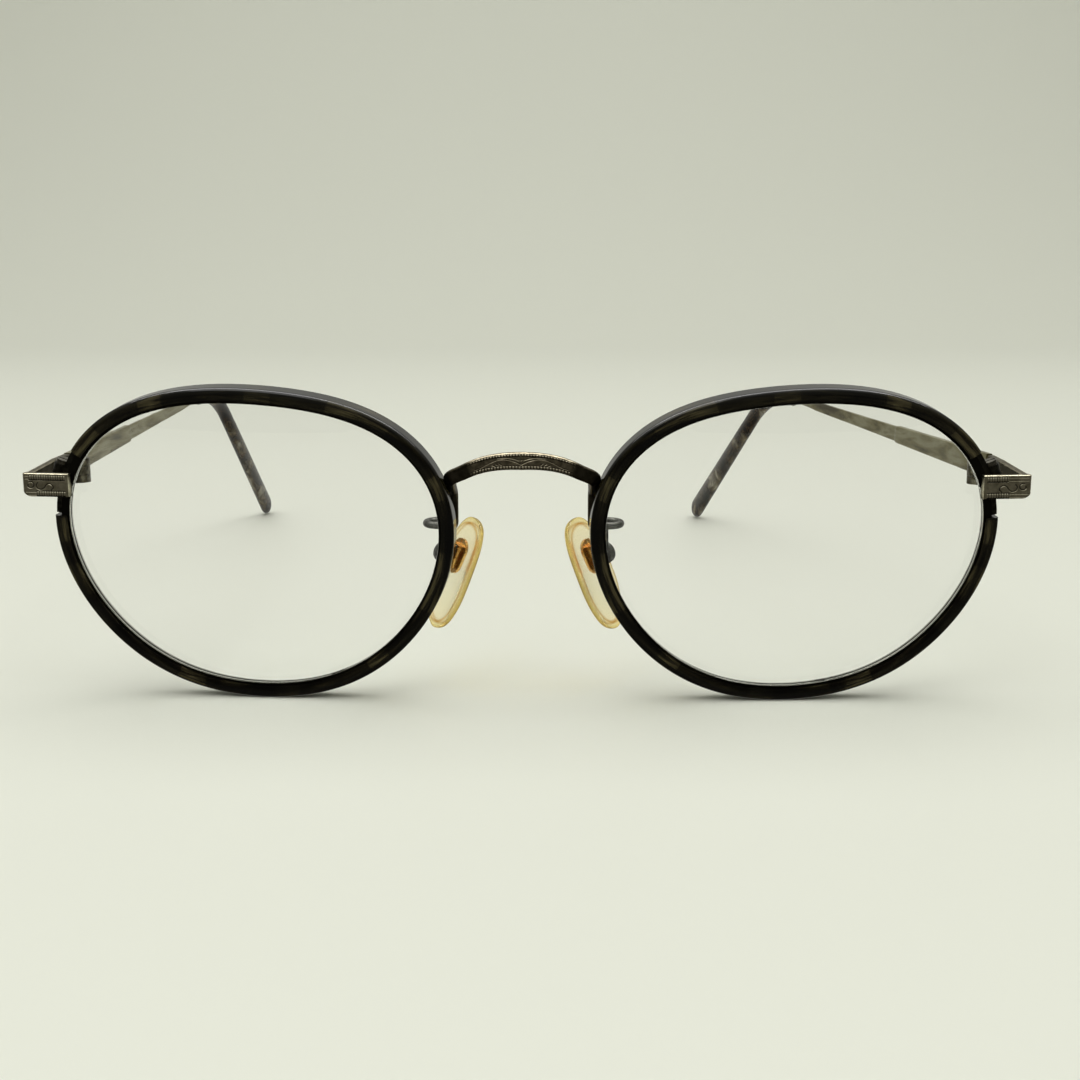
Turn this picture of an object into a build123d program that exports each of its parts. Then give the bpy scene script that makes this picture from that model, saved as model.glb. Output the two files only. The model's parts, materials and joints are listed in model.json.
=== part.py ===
from build123d import *
import math
import os

os.makedirs("parts", exist_ok=True)

# Eyeglasses frame of the acetate-covered metal kind, standing open on a table.
# X runs to the wearer's left, Y from the front to the ear tips, Z up.
# Every piece of the left side (+X) is modelled and mirrored to the right side.
# Lengths are in millimetres and angles in degrees.

# ---- Rims and lenses ----
LENS_SPACING = 71.0         # lens centre to lens centre
RIM_RADIUS = 23.7           # mean radius of a rim cover's outline
RIM_OVAL = 2.78             # how much wider than high the outline is
RIM_SLANT = 0.4             # how much the oval's long axis tips
RIM_EGG = 0.7               # how much rounder the lower half is
RIM_SHOULDER = 0.15         # how full the upper corners are
BASE_CURVE = 118.0          # radius of the dome that both fronts follow
FACE_WRAP = 3.4             # each rim's turn about its own upright
FRONT_LEAN = 4.0            # forward lean of the whole front
COVER_BAND = 1.7            # acetate cover, seen from the front
COVER_DEPTH = 3.1           # acetate cover, front to back
COVER_WALL = 0.75           # its outer wall
COVER_LIP = 0.5             # its front and back lips
COVER_ROUND = 0.45          # rounding of its outer edges
COVER_BEVEL = 0.25          # fall of its front from the middle ridge to the lens
COVER_BEVEL_WIDTH = 0.8
COVER_START = 26.5          # where the cover starts, above the temporal joint
COVER_END = 366.5           # where it ends, below the joint
NOTCH_MARGIN = 2.6          # cover cut back round the leg soldered to the rim
SEAT_GAP = 0.05             # gap between pieces that are pushed together
WIRE_WIDTH = 1.2            # eye wire, radially
LENS_GROOVE = 0.55          # depth of the groove in the eye wire
LENS_GROOVE_WIDTH = 1.0
LENS_THICKNESS = 1.6
JOINT_ANGLE = 17.0          # where the eye wire is split for the lens
JOINT_SLIT = 0.3

# ---- Closing blocks and rim screws ----
BARREL_RADIUS = 1.1
BARREL_LENGTH = 1.7
BARREL_STANDOFF = 0.35      # barrel axis outside the rim's outline
RIM_SCREW_RADIUS = 0.55
RIM_SCREW_HEAD_RADIUS = 0.95
RIM_SCREW_HEAD = 0.55
BLOCK_LOW = 7.2             # ends of the two blocks, as angles on the rim
BLOCK_HIGH = 25.8
SLOT_WIDTH = 0.25           # screwdriver slots

# ---- End pieces ----
PLATE_HALF_SPAN = 65.95     # mid plane to the end piece's outer corner
PLATE_OVERLAP = 1.6         # how far the plate laps over the rim
PLATE_SLOPE = 6.0           # how far the plate turns back with the face
STRAP = 1.0                 # thickness of the bent strap
PLATE_HEIGHT = 3.1          # at its nasal end
PLATE_CORNER_HEIGHT = 2.5   # at its outer corner
STRAP_END_HEIGHT = 3.2      # at the hinge
STRAP_END_RISE = 1.05       # how much higher the strap's end lies than the plate
CORNER_ROUND = 0.6          # outer bend radius of the strap
CORNER_CUT = 1.4            # width of the cut under the plate's outer corner

# ---- Hinges ----
HINGE_HALF_SPAN = 61.0      # mid plane to the hinge pin
HINGE_SETBACK = 11.0        # front of the plate to the hinge pin
KNUCKLE_RADIUS = 1.2
KNUCKLE_HEIGHT = 1.05
KNUCKLE_GAP = 0.08
PIN_RADIUS = 0.5
PIN_CLEARANCE = 0.03
PIN_HEAD_RADIUS = 0.9
PIN_HEAD = 0.4
LEAF = 0.8                  # thickness of a hinge leaf
LEAF_LENGTH = 4.0
LEAF_HEIGHT = 2.4
HINGE_DROP = 0.55           # hinge middle below the strap end's middle
SWING_GAP = 0.15            # round a knuckle that turns
LEAF_OFFSET = 0.5           # from the knuckles to the strap's inner face
BUTT_GAP = 0.15             # from the pin's plane to each butt face

# ---- Temples ----
TEMPLE_THICKNESS = 1.0
TEMPLE_FRONT_HEIGHT = 3.4
TEMPLE_STEP_HEIGHT = 2.6    # just before the step
TEMPLE_STEP = 28.0          # pin to the step
STEP_DROP = 0.3             # height lost at the step
STEP_INSET = 0.15           # thickness lost on each face at the step
TEMPLE_TAIL = 63.0          # pin to the end of the flat part
TEMPLE_TAIL_HEIGHT = 1.5
TEMPLE_BEND = 82.0          # pin to the bend over the ear
TEMPLE_RISE = 1.8           # slope of the straight part
DROP_ANGLE = 35.5           # slope of the part behind the ear, below level
BEND_RADIUS = 32.0
CORE_RADIUS = 0.65          # wire inside the tip
CORE_END = 9.0              # core stops short of the tip's end
TIP_START = 70.0            # pin to the mouth of the acetate tip
TIP_THICKNESS = 2.35
TIP_HEIGHT = 2.9
TIP_END_HEIGHT = 4.3
TIP_END_ROUND = 3.0         # length of the rounded end
TIP_EVEN = 20.0             # length of the tip before it swells
TIP_STEP = 4.0              # spacing of its sections
TIP_CAP_STEPS = (0.35, 0.6, 0.8, 0.93, 0.99)  # sections of the rounded end, as shares of it
TEMPLE_EDGE = 0.25          # bevel along the plate
LEFT_FOLD = 13.7            # how far the left temple stands folded in at rest

# ---- Bridge ----
BRIDGE_CROWN = 12.45        # crown above the lens centres
BRIDGE_HEIGHT = 2.3         # strap at the crown, seen from the front
BRIDGE_END_HEIGHT = 1.9     # strap where the legs begin
BRIDGE_HALF_SPAN = 8.3      # half of the strap
BRIDGE_ARCH = 2.2           # drop of the strap's ends below its crown
BRIDGE_BOW = 1.6            # crown in front of the strap's ends
BRIDGE_THICKNESS = 0.95
BRIDGE_REACH = 1.3          # strap's ends behind the plane of the front
LEG_RADIUS = 0.65
LEG_HALF_SPAN = 9.15        # mid plane to a leg
LEG_FOOT_ANGLE = 176.6      # where a leg meets the eye wire
LEG_GAP = 0.2               # behind the cover
LEG_LAP = 1.2               # how far a leg's top runs into the strap
LEG_BEND = 0.75
KNEE_DROP = 0.2             # knee below the strap's middle line
LEG_TURN = 5.2              # above its foot, where a leg comes upright

# ---- Nose pads and their arms ----
PAD_HALF_SPAN = 9.5         # mid plane to a pad's middle
PAD_DROP = 5.7              # pad's middle below the lens centres
PAD_SETBACK = 10.5          # pad's middle behind the front
PAD_SPLAY = 35.0            # pad's turn seen from above
PAD_FLARE = 23.0            # pad's tilt seen from the front
PAD_LENGTH = 16.2
PAD_WIDTH = 8.2
PAD_THICKNESS = 2.0
PAD_ROUND = 0.8
CORE_PLATE_LENGTH = 5.0
CORE_PLATE_WIDTH = 3.2
CORE_PLATE = 0.5
SOCKET_LENGTH = 3.2         # block on the core's plate that carries its lug
SOCKET_WIDTH = 2.0
SOCKET_GAP = 0.35           # between that block and the box, to rock in
PIVOT_RISE = 2.5            # pad pivot above the pad's middle
PIVOT_STANDOFF = 2.45       # pad pivot off the pad's mid plane
LUG_THICKNESS = 1.0
LUG_RADIUS = 0.95
BOX_RADIUS = 1.6
BOX_MOUTH = 0.3             # pivot to the box's open end
BOX_DEPTH = 2.4
BOX_SLOT = 1.2
PAD_SCREW_RADIUS = 0.4
PAD_SCREW_HEAD_RADIUS = 0.75
PAD_SCREW_HEAD = 0.35
ARM_RADIUS = 0.48
ARM_RISE = 0.25             # pad arm's loop above the leg's foot that it is brazed to
ARM_HALF_SPAN = 12.95       # mid plane to the loop's outer run
ARM_LOOP = 3.6              # front run to rear run
ARM_BEND = 0.7
ARM_SEAT = 1.2              # pivot to the arm's end, towards the box's back
ARM_SEAT_RISE = 0.95        # and upwards, clear of the slot's floor

# ---- Values that follow ----
WIRE_OUTER = COVER_WALL + SEAT_GAP
WIRE_INNER = WIRE_OUTER + WIRE_WIDTH
WIRE_FRONT = COVER_LIP + SEAT_GAP
WIRE_BACK = COVER_DEPTH - COVER_LIP - SEAT_GAP
MID_DEPTH = COVER_DEPTH / 2
FAR = 60.0                  # longer than any piece of the front
COVER_EDGE_LENGTH = 2 * math.pi * (RIM_RADIUS - COVER_BAND / 2)  # between inner and outer edges


def rim_point(angle, inset=0.0):
    """Point of the rim's outline (across, up), inset towards the lens."""
    a = math.radians(angle)
    r = RIM_RADIUS + RIM_OVAL * math.cos(2 * a) + RIM_SLANT * math.sin(2 * a)
    r += RIM_EGG * math.sin(3 * a) + RIM_SHOULDER * math.sin(5 * a)
    slope = -2 * RIM_OVAL * math.sin(2 * a) + 2 * RIM_SLANT * math.cos(2 * a)
    slope += 3 * RIM_EGG * math.cos(3 * a) + 5 * RIM_SHOULDER * math.cos(5 * a)
    length = math.hypot(r, slope)
    out_x = (r * math.cos(a) + slope * math.sin(a)) / length
    out_z = (r * math.sin(a) - slope * math.cos(a)) / length
    return r * math.cos(a) - inset * out_x, r * math.sin(a) - inset * out_z


def dome_depth(x, z):
    """Depth of the domed front face at a point of a rim."""
    return BASE_CURVE - math.sqrt(BASE_CURVE**2 - x**2 - z**2)


RIM_PLACE = Pos(LENS_SPACING / 2, 0, 0) * Rot(0, 0, FACE_WRAP)


def leaned(angle, inset, depth):
    """A rim point in the leaning front, before the front is lifted."""
    x, z = rim_point(angle, inset)
    local = Pos(x, dome_depth(x, z) + depth, z)
    return (Rot(FRONT_LEAN, 0, 0) * RIM_PLACE * local).position


# The covers' lowest point stands on the table.
LIFT = -min(leaned(angle, 0, 0).Z for angle in range(180, 360))
STAND = Pos(0, 0, LIFT) * Rot(FRONT_LEAN, 0, 0)


def on_rim(angle, inset, depth):
    """A rim point in the standing frame."""
    return leaned(angle, inset, depth) + Vector(0, 0, LIFT)


def prism(inset):
    """Bar with the rim's outline, along the lens axis."""
    points = [Vector(x, -FAR / 4, z) for x, z in (rim_point(a, inset) for a in range(0, 360, 10))]
    face = make_face(Spline(*points, periodic=True))
    return extrude(face, amount=FAR / 2, dir=(0, 1, 0))


def dome(front, back):
    """Domed layer between two depths behind the rims' front face."""
    centre = Pos(0, BASE_CURVE, 0)
    return centre * Sphere(BASE_CURVE - front) - centre * Sphere(BASE_CURVE - back)


def ring(outer, inner, front, back):
    """Closed ring between two insets and two depths."""
    return (prism(outer) - prism(inner)) & dome(front, back)


def sector(start, end):
    """Wedge of the rim's plane between two angles."""
    corners = [(0, 0)]
    for angle in (start, end):
        a = math.radians(angle)
        corners.append((FAR * math.cos(a), FAR * math.sin(a)))
    wedge = make_face(Polyline(*[(x, -FAR / 2, z) for x, z in corners], close=True))
    return extrude(wedge, amount=FAR, dir=(0, 1, 0))


def rod(points, radius, bends):
    """Round wire along straight runs with rounded bends."""
    path = FilletPolyline(*points, radius=bends)
    section = Plane(origin=path @ 0, z_dir=path % 0) * Circle(radius)
    return sweep(section, path=path)


def one_solid(shape):
    """The largest solid of a shape."""
    return max(shape.solids(), key=lambda solid: solid.volume)


# ---- Rims ----

def eye_wire():
    """Metal rim with the lens groove, split at the temporal joint."""
    wire = ring(WIRE_OUTER, WIRE_INNER, WIRE_FRONT, WIRE_BACK)
    groove_front = MID_DEPTH - LENS_GROOVE_WIDTH / 2
    groove_back = MID_DEPTH + LENS_GROOVE_WIDTH / 2
    wire -= ring(WIRE_INNER - LENS_GROOVE, WIRE_INNER + 1, groove_front, groove_back)
    return one_solid(wire - joint_slit())


def joint_frame():
    """Frame on the rim at the joint: x outwards, z up along the rim."""
    x, z = rim_point(JOINT_ANGLE)
    x_in, z_in = rim_point(JOINT_ANGLE, 1)
    y = dome_depth(x, z) + MID_DEPTH
    outwards = Vector(x - x_in, 0, z - z_in)
    return Plane(origin=(x, y, z), x_dir=outwards, z_dir=(-outwards.Z, 0, outwards.X))


def joint_slit():
    """Saw cut that parts the eye wire at the joint."""
    return joint_frame() * Box(4 * WIRE_WIDTH, 4 * COVER_DEPTH, JOINT_SLIT)


def rim_cover():
    """Acetate sheath round the outside of the eye wire, open at the joint."""
    body = prism(0) & dome(0, COVER_DEPTH)
    body = fillet(body.edges(), COVER_ROUND)
    body -= prism(COVER_BAND)
    inner_edges = body.edges().filter_by(lambda edge: edge.length < COVER_EDGE_LENGTH)
    front_edge = inner_edges.sort_by(Axis.Y)[0]
    body = chamfer(front_edge, COVER_BEVEL, COVER_BEVEL_WIDTH)
    body -= ring(COVER_WALL, COVER_BAND + 1, COVER_LIP, COVER_DEPTH - COVER_LIP)
    body -= sector(COVER_END - 360, COVER_START)
    notch = sector(LEG_FOOT_ANGLE - NOTCH_MARGIN, LEG_FOOT_ANGLE + NOTCH_MARGIN)
    body -= ring(WIRE_OUTER, COVER_BAND + 1, MID_DEPTH, COVER_DEPTH + 1) & notch
    return one_solid(body)


def lens():
    """Domed lens with a raised bevel that sits in the groove."""
    front = MID_DEPTH - LENS_THICKNESS / 2
    body = prism(WIRE_INNER + SEAT_GAP) & dome(front, front + LENS_THICKNESS)
    bevel_width = LENS_GROOVE_WIDTH / 2 - SEAT_GAP
    bevel = prism(WIRE_INNER - LENS_GROOVE + SEAT_GAP)
    bevel &= dome(MID_DEPTH - bevel_width, MID_DEPTH + bevel_width)
    return body + bevel


# ---- Joint: closing blocks and screw ----

def closing_block(upper):
    """Half of the split block behind the end piece, with its barrel."""
    start, end = (JOINT_ANGLE, BLOCK_HIGH) if upper else (BLOCK_LOW, JOINT_ANGLE)
    side = 1 if upper else -1
    band = ring(2 * SEAT_GAP, WIRE_OUTER, WIRE_FRONT, WIRE_BACK) & sector(start, end)
    middle = side * (JOINT_SLIT + BARREL_LENGTH) / 2
    barrel = joint_frame() * Pos(BARREL_STANDOFF, 0, middle) * Cylinder(BARREL_RADIUS, BARREL_LENGTH)
    barrel -= prism(WIRE_OUTER)
    block = band + barrel - joint_slit()
    bore = RIM_SCREW_RADIUS + (2 * SEAT_GAP if upper else SEAT_GAP / 2)
    block -= joint_frame() * Pos(BARREL_STANDOFF, 0, 0) * Cylinder(bore, 4 * BARREL_LENGTH)
    head_room = Cylinder(RIM_SCREW_HEAD_RADIUS + SEAT_GAP, 2 * RIM_SCREW_HEAD)
    head_seat = JOINT_SLIT / 2 + BARREL_LENGTH + RIM_SCREW_HEAD
    block -= joint_frame() * Pos(BARREL_STANDOFF, 0, head_seat) * head_room
    return one_solid(block)


def rim_screw():
    """Slotted screw that draws the two blocks together."""
    top = JOINT_SLIT / 2 + BARREL_LENGTH
    shank = 2 * top
    screw = Cylinder(RIM_SCREW_RADIUS, shank)
    screw += Pos(0, 0, top + SEAT_GAP + RIM_SCREW_HEAD / 2) * Cylinder(RIM_SCREW_HEAD_RADIUS, RIM_SCREW_HEAD)
    screw += Pos(0, 0, top + SEAT_GAP / 2) * Cylinder(RIM_SCREW_RADIUS, 2 * SEAT_GAP)
    slot = Box(3 * RIM_SCREW_HEAD_RADIUS, SLOT_WIDTH, RIM_SCREW_HEAD)
    screw -= Pos(0, 0, top + SEAT_GAP + RIM_SCREW_HEAD) * slot
    return joint_frame() * Pos(BARREL_STANDOFF, 0, 0) * screw


# ---- End piece: a strap bent back from the plate to the hinge ----
PLATE_IN = on_rim(JOINT_ANGLE, WIRE_INNER, WIRE_FRONT)
PLATE_IN_X = on_rim(JOINT_ANGLE, 0, WIRE_FRONT).X - PLATE_OVERLAP
PLATE_BACK = PLATE_IN.Y - SEAT_GAP
PLATE_FACE = PLATE_BACK - STRAP
PLATE_MIDDLE = PLATE_IN.Z
CORNER_Y = PLATE_FACE + (PLATE_HALF_SPAN - PLATE_IN_X) * math.tan(math.radians(PLATE_SLOPE))
HINGE_Y = PLATE_FACE + HINGE_SETBACK
SEAT_START = HINGE_Y - LEAF_LENGTH - KNUCKLE_RADIUS / 2
STRAP_INNER = HINGE_HALF_SPAN + KNUCKLE_RADIUS + LEAF_OFFSET
STRAP_OUTER = STRAP_INNER + STRAP
STRAP_END = HINGE_Y - BUTT_GAP
STRAP_END_MIDDLE = PLATE_MIDDLE + STRAP_END_RISE
HINGE_MIDDLE = STRAP_END_MIDDLE - HINGE_DROP


def end_piece():
    """Plate on the rim's front, bent back to the hinge seat."""
    outline = Polyline(
        (PLATE_IN_X, PLATE_FACE),
        (PLATE_HALF_SPAN, CORNER_Y),
        (STRAP_OUTER, SEAT_START),
        (STRAP_OUTER, STRAP_END),
        (STRAP_INNER, STRAP_END),
        (STRAP_INNER, SEAT_START),
        (PLATE_HALF_SPAN - STRAP, CORNER_Y + STRAP),
        (PLATE_IN_X, PLATE_FACE + STRAP),
        close=True,
    )
    plan = make_face(outline)
    plan = fillet(plan.vertices().sort_by(Axis.X)[-1], CORNER_ROUND)
    strap = Pos(0, 0, PLATE_MIDDLE - FAR / 2) * extrude(plan, amount=FAR)
    strap &= strap_side_view()
    strap &= plate_front_view()
    return one_solid(strap)


def strap_side_view():
    """Heights of the strap from the plate to the hinge."""
    top = PLATE_MIDDLE + PLATE_HEIGHT / 2
    bottom = PLATE_MIDDLE - PLATE_HEIGHT / 2
    end_top = STRAP_END_MIDDLE + STRAP_END_HEIGHT / 2
    end_bottom = STRAP_END_MIDDLE - STRAP_END_HEIGHT / 2
    bend_y = PLATE_BACK + STRAP
    view = Polyline(
        (-FAR, PLATE_FACE - FAR, top),
        (-FAR, bend_y, top),
        (-FAR, SEAT_START, end_top),
        (-FAR, STRAP_END + FAR, end_top),
        (-FAR, STRAP_END + FAR, end_bottom),
        (-FAR, SEAT_START, end_bottom),
        (-FAR, bend_y, bottom),
        (-FAR, PLATE_FACE - FAR, bottom),
        close=True,
    )
    return extrude(make_face(view), amount=3 * FAR, dir=(1, 0, 0))


def plate_front_view():
    """The plate's outline from the front, with its lower outer corner cut up."""
    top = PLATE_MIDDLE + STRAP_END_RISE + STRAP_END_HEIGHT
    bottom = PLATE_MIDDLE - PLATE_HEIGHT / 2
    lost = PLATE_HEIGHT - PLATE_CORNER_HEIGHT
    view = Polyline(
        (PLATE_IN_X, -FAR, bottom - 1),
        (PLATE_IN_X, -FAR, top),
        (PLATE_HALF_SPAN + 1, -FAR, top),
        (PLATE_HALF_SPAN + 1, -FAR, bottom + lost + STRAP),
        (PLATE_HALF_SPAN, -FAR, bottom + lost),
        (PLATE_HALF_SPAN - CORNER_CUT, -FAR, bottom),
        (PLATE_HALF_SPAN - CORNER_CUT, -FAR, bottom - 1),
        close=True,
    )
    return extrude(make_face(view), amount=3 * FAR, dir=(0, 1, 0))


# ---- Hinge: two knuckles on the front, one on the temple ----

def knuckle_span(which):
    """Middle height of a knuckle: -1 lower, 0 middle, 1 upper."""
    return which * (KNUCKLE_HEIGHT + KNUCKLE_GAP)


def knuckle(which, grow=0.0):
    """A knuckle's disc in the hinge frame, grown where it cuts room."""
    return Pos(0, 0, knuckle_span(which)) * Cylinder(KNUCKLE_RADIUS + grow, KNUCKLE_HEIGHT + grow)


def hinge_leaf(which_knuckles, side):
    """A leaf with its knuckles; side is -1 for the front, 1 for the temple."""
    seat = STRAP_INNER - HINGE_HALF_SPAN
    middle_y = side * (BUTT_GAP + LEAF_LENGTH / 2)
    leaf = Pos(seat - LEAF / 2, middle_y, 0) * Box(LEAF, LEAF_LENGTH, LEAF_HEIGHT)
    for which in (-1, 0, 1):
        if which not in which_knuckles:
            leaf -= knuckle(which, SWING_GAP)
    web_y = side * KNUCKLE_RADIUS / 2
    for which in which_knuckles:
        web = Box(seat, KNUCKLE_RADIUS, KNUCKLE_HEIGHT)
        leaf += Pos(seat / 2, web_y, knuckle_span(which)) * web
        leaf += knuckle(which)
    for which in (-1, 0, 1):
        if which not in which_knuckles:
            leaf -= knuckle(which, KNUCKLE_GAP)
    leaf &= Pos(seat - FAR / 2, 0, 0) * Box(FAR, FAR, FAR)
    leaf -= Cylinder(PIN_RADIUS + PIN_CLEARANCE, FAR)
    return one_solid(leaf)


def hinge_screw():
    """Slotted screw that is the hinge's pin."""
    half = 1.5 * KNUCKLE_HEIGHT + KNUCKLE_GAP
    screw = Cylinder(PIN_RADIUS, 2 * half)
    screw += Pos(0, 0, half + PIN_CLEARANCE + PIN_HEAD / 2) * Cylinder(PIN_HEAD_RADIUS, PIN_HEAD)
    screw += Pos(0, 0, half) * Cylinder(PIN_RADIUS, 4 * PIN_CLEARANCE)
    screw -= Pos(0, 0, half + PIN_CLEARANCE + PIN_HEAD) * Box(3 * PIN_HEAD_RADIUS, SLOT_WIDTH, PIN_HEAD)
    return screw


HINGE_PLACE = Pos(HINGE_HALF_SPAN, HINGE_Y, HINGE_MIDDLE)

# ---- Temple, in the hinge frame: y runs back from the pin ----
TEMPLE_INNER = STRAP_INNER - HINGE_HALF_SPAN
TEMPLE_X = TEMPLE_INNER + TEMPLE_THICKNESS / 2
TEMPLE_START_Z = STRAP_END_MIDDLE - HINGE_MIDDLE
RISE = math.tan(math.radians(TEMPLE_RISE))
DROP = math.radians(DROP_ANGLE)
BEND_Z = TEMPLE_START_Z + TEMPLE_BEND * RISE
# The rounded end of the tip just stands on the table.
CAP_Z = math.hypot(TIP_END_ROUND * math.sin(DROP), TIP_END_HEIGHT / 2 * math.cos(DROP)) - HINGE_MIDDLE
CAP_Y = TEMPLE_BEND + (BEND_Z - CAP_Z) / math.tan(DROP)


def temple_z(y):
    """Height of the temple's middle line in its straight part."""
    return TEMPLE_START_Z + y * RISE


def temple_path(y_start, short=0.0):
    """Middle line from a place on the straight part to near the tip's end."""
    y_end = CAP_Y - short * math.cos(DROP)
    z_end = CAP_Z + short * math.sin(DROP)
    corners = ((TEMPLE_X, y_start, temple_z(y_start)), (TEMPLE_X, TEMPLE_BEND, BEND_Z),
               (TEMPLE_X, y_end, z_end))
    return FilletPolyline(*corners, radius=BEND_RADIUS)


def flat_bar(y_start, y_end, height_start, height_end, thickness):
    """Tapering flat bar along the straight part."""
    x = TEMPLE_X - thickness / 2
    face = Polyline(
        (x, y_start, temple_z(y_start) - height_start / 2),
        (x, y_end, temple_z(y_end) - height_end / 2),
        (x, y_end, temple_z(y_end) + height_end / 2),
        (x, y_start, temple_z(y_start) + height_start / 2),
        close=True,
    )
    return extrude(make_face(face), amount=thickness, dir=(1, 0, 0))


def temple():
    """Flat front, stepped and tapering tail, and the wire core of the tip."""
    front = flat_bar(BUTT_GAP, TEMPLE_STEP, TEMPLE_FRONT_HEIGHT, TEMPLE_STEP_HEIGHT, TEMPLE_THICKNESS)
    long_edges = front.edges().filter_by(lambda edge: edge.length > TEMPLE_STEP / 2)
    front = chamfer(long_edges, TEMPLE_EDGE)
    tail_height = TEMPLE_STEP_HEIGHT - STEP_DROP
    tail = flat_bar(TEMPLE_STEP, TEMPLE_TAIL, tail_height, TEMPLE_TAIL_HEIGHT,
                    TEMPLE_THICKNESS - 2 * STEP_INSET)
    path = temple_path(TEMPLE_TAIL - TEMPLE_TAIL_HEIGHT, CORE_END)
    core = sweep(Plane(origin=path @ 0, z_dir=path % 0) * Circle(CORE_RADIUS), path=path)
    return one_solid(front + tail + core)


def tip_section(path, distance, shrink=1.0, push=0.0):
    """Oval section of the tip at a distance along it, pushed past its end."""
    swell = max(0, distance - TIP_EVEN) / (path.length - TIP_EVEN)
    height = TIP_HEIGHT + (TIP_END_HEIGHT - TIP_HEIGHT) * swell
    along = path.tangent_at(distance, position_mode=PositionMode.LENGTH)
    origin = path.position_at(distance, position_mode=PositionMode.LENGTH) + along * push
    plane = Plane(origin=origin, x_dir=(1, 0, 0), z_dir=along)
    return plane * Ellipse(TIP_THICKNESS / 2 * shrink, height / 2 * shrink)


def temple_tip():
    """Acetate tip, bored for the core, with a rounded end."""
    path = temple_path(TIP_START)
    steps = math.ceil(path.length / TIP_STEP)
    sections = [tip_section(path, path.length * step / steps) for step in range(steps + 1)]
    for part in TIP_CAP_STEPS:
        sections.append(tip_section(path, path.length, math.sqrt(1 - part**2), part * TIP_END_ROUND))
    tip = loft(sections, ruled=True)
    core_path = temple_path(TEMPLE_TAIL, CORE_END - SEAT_GAP)
    start = Plane(origin=core_path @ 0, z_dir=core_path % 0)
    tip -= sweep(start * Circle(CORE_RADIUS + SEAT_GAP / 2), path=core_path)
    return one_solid(tip)


# ---- Where a leg of the bridge meets the eye wire, and where it runs ----
LEG_FOOT = on_rim(LEG_FOOT_ANGLE, (WIRE_OUTER + WIRE_INNER) / 2, WIRE_BACK)
LEG_Y = on_rim(LEG_FOOT_ANGLE, 0, COVER_DEPTH).Y + LEG_GAP + LEG_RADIUS

# ---- Nose pad, in the pad frame: x across the pad, y up it, z to its carrier ----
PAD_MIDDLE = Vector(PAD_HALF_SPAN, PAD_SETBACK, LIFT - PAD_DROP)
SPLAY = math.radians(PAD_SPLAY)
PAD_TURN = Rot(0, -PAD_FLARE, 0) * Plane(
    origin=(0, 0, 0),
    x_dir=(math.sin(SPLAY), math.cos(SPLAY), 0),
    z_dir=(math.cos(SPLAY), -math.sin(SPLAY), 0),
).location
PAD_PLACE = Pos(*PAD_MIDDLE) * PAD_TURN
PIVOT_PLACE = PAD_PLACE * Pos(0, PIVOT_RISE, PIVOT_STANDOFF)

# Points of a pad's outline, as shares of its half width and half length.
PAD_OUTLINE = (
    (0.08, 1.0), (-0.44, 0.92), (-0.74, 0.62), (-0.87, 0.1), (-0.88, -0.42), (-0.62, -0.83),
    (-0.05, -1.0), (0.52, -0.84), (0.9, -0.42), (1.0, 0.1), (0.86, 0.62), (0.56, 0.91),
)


def nose_pad():
    """Soft pad with a straighter front edge and a seat for its core."""
    points = [(across * PAD_WIDTH / 2, along * PAD_LENGTH / 2, 0) for across, along in PAD_OUTLINE]
    outline = Spline(*points, periodic=True)
    pad = Pos(0, 0, -PAD_THICKNESS / 2) * extrude(make_face(outline), amount=PAD_THICKNESS)
    pad = fillet(pad.edges(), PAD_ROUND)
    return pad - core_plate(SEAT_GAP)


def core_plate(grow=0.0):
    """Plate of the core, set flush in the pad's outer face."""
    length = CORE_PLATE_LENGTH + 2 * grow
    width = CORE_PLATE_WIDTH + 2 * grow
    depth = CORE_PLATE + grow
    plate = extrude(SlotOverall(length, width, rotation=90), amount=depth)
    return Pos(0, PIVOT_RISE, PAD_THICKNESS / 2 - depth) * plate


def pad_core():
    """Metal core: plate in the pad, block on it and drilled lug in the box."""
    foot = PAD_THICKNESS / 2 - CORE_PLATE / 2
    socket_rise = PIVOT_STANDOFF - BOX_MOUTH - SOCKET_GAP - foot
    socket = Pos(0, PIVOT_RISE, foot + socket_rise / 2) * Box(SOCKET_WIDTH, SOCKET_LENGTH, socket_rise)
    lug_rise = PIVOT_STANDOFF - foot
    lug = Pos(0, PIVOT_RISE, foot + lug_rise / 2) * Box(LUG_THICKNESS, 2 * LUG_RADIUS, lug_rise)
    barrel = Pos(0, PIVOT_RISE, PIVOT_STANDOFF) * Rot(0, 90, 0) * Cylinder(LUG_RADIUS, LUG_THICKNESS)
    bore = Pos(0, PIVOT_RISE, PIVOT_STANDOFF) * Rot(0, 90, 0)
    bore *= Cylinder(PAD_SCREW_RADIUS + PIN_CLEARANCE, 2 * LUG_THICKNESS)
    return core_plate() + socket + lug + barrel - bore


def pad_box():
    """D-shaped box on the arm's end, slotted for the core's lug."""
    body = Rot(0, 90, 0) * Cylinder(BOX_RADIUS, BOX_DEPTH)
    body += Pos(0, 0, -BOX_MOUTH / 2) * Box(BOX_DEPTH, 2 * BOX_RADIUS, BOX_MOUTH)
    body -= Pos(0, 0, -BOX_MOUTH - BOX_RADIUS) * Box(2 * BOX_DEPTH, 4 * BOX_RADIUS, 2 * BOX_RADIUS)
    slot_floor = LUG_RADIUS + SWING_GAP
    slot_length = BOX_MOUTH + slot_floor + 1
    slot = Box(BOX_SLOT, 3 * BOX_RADIUS, slot_length)
    body -= Pos(0, 0, slot_floor - slot_length / 2) * slot
    body -= Rot(0, 90, 0) * Cylinder(PAD_SCREW_RADIUS + SEAT_GAP / 2, 2 * BOX_DEPTH)
    return one_solid(body)


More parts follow.
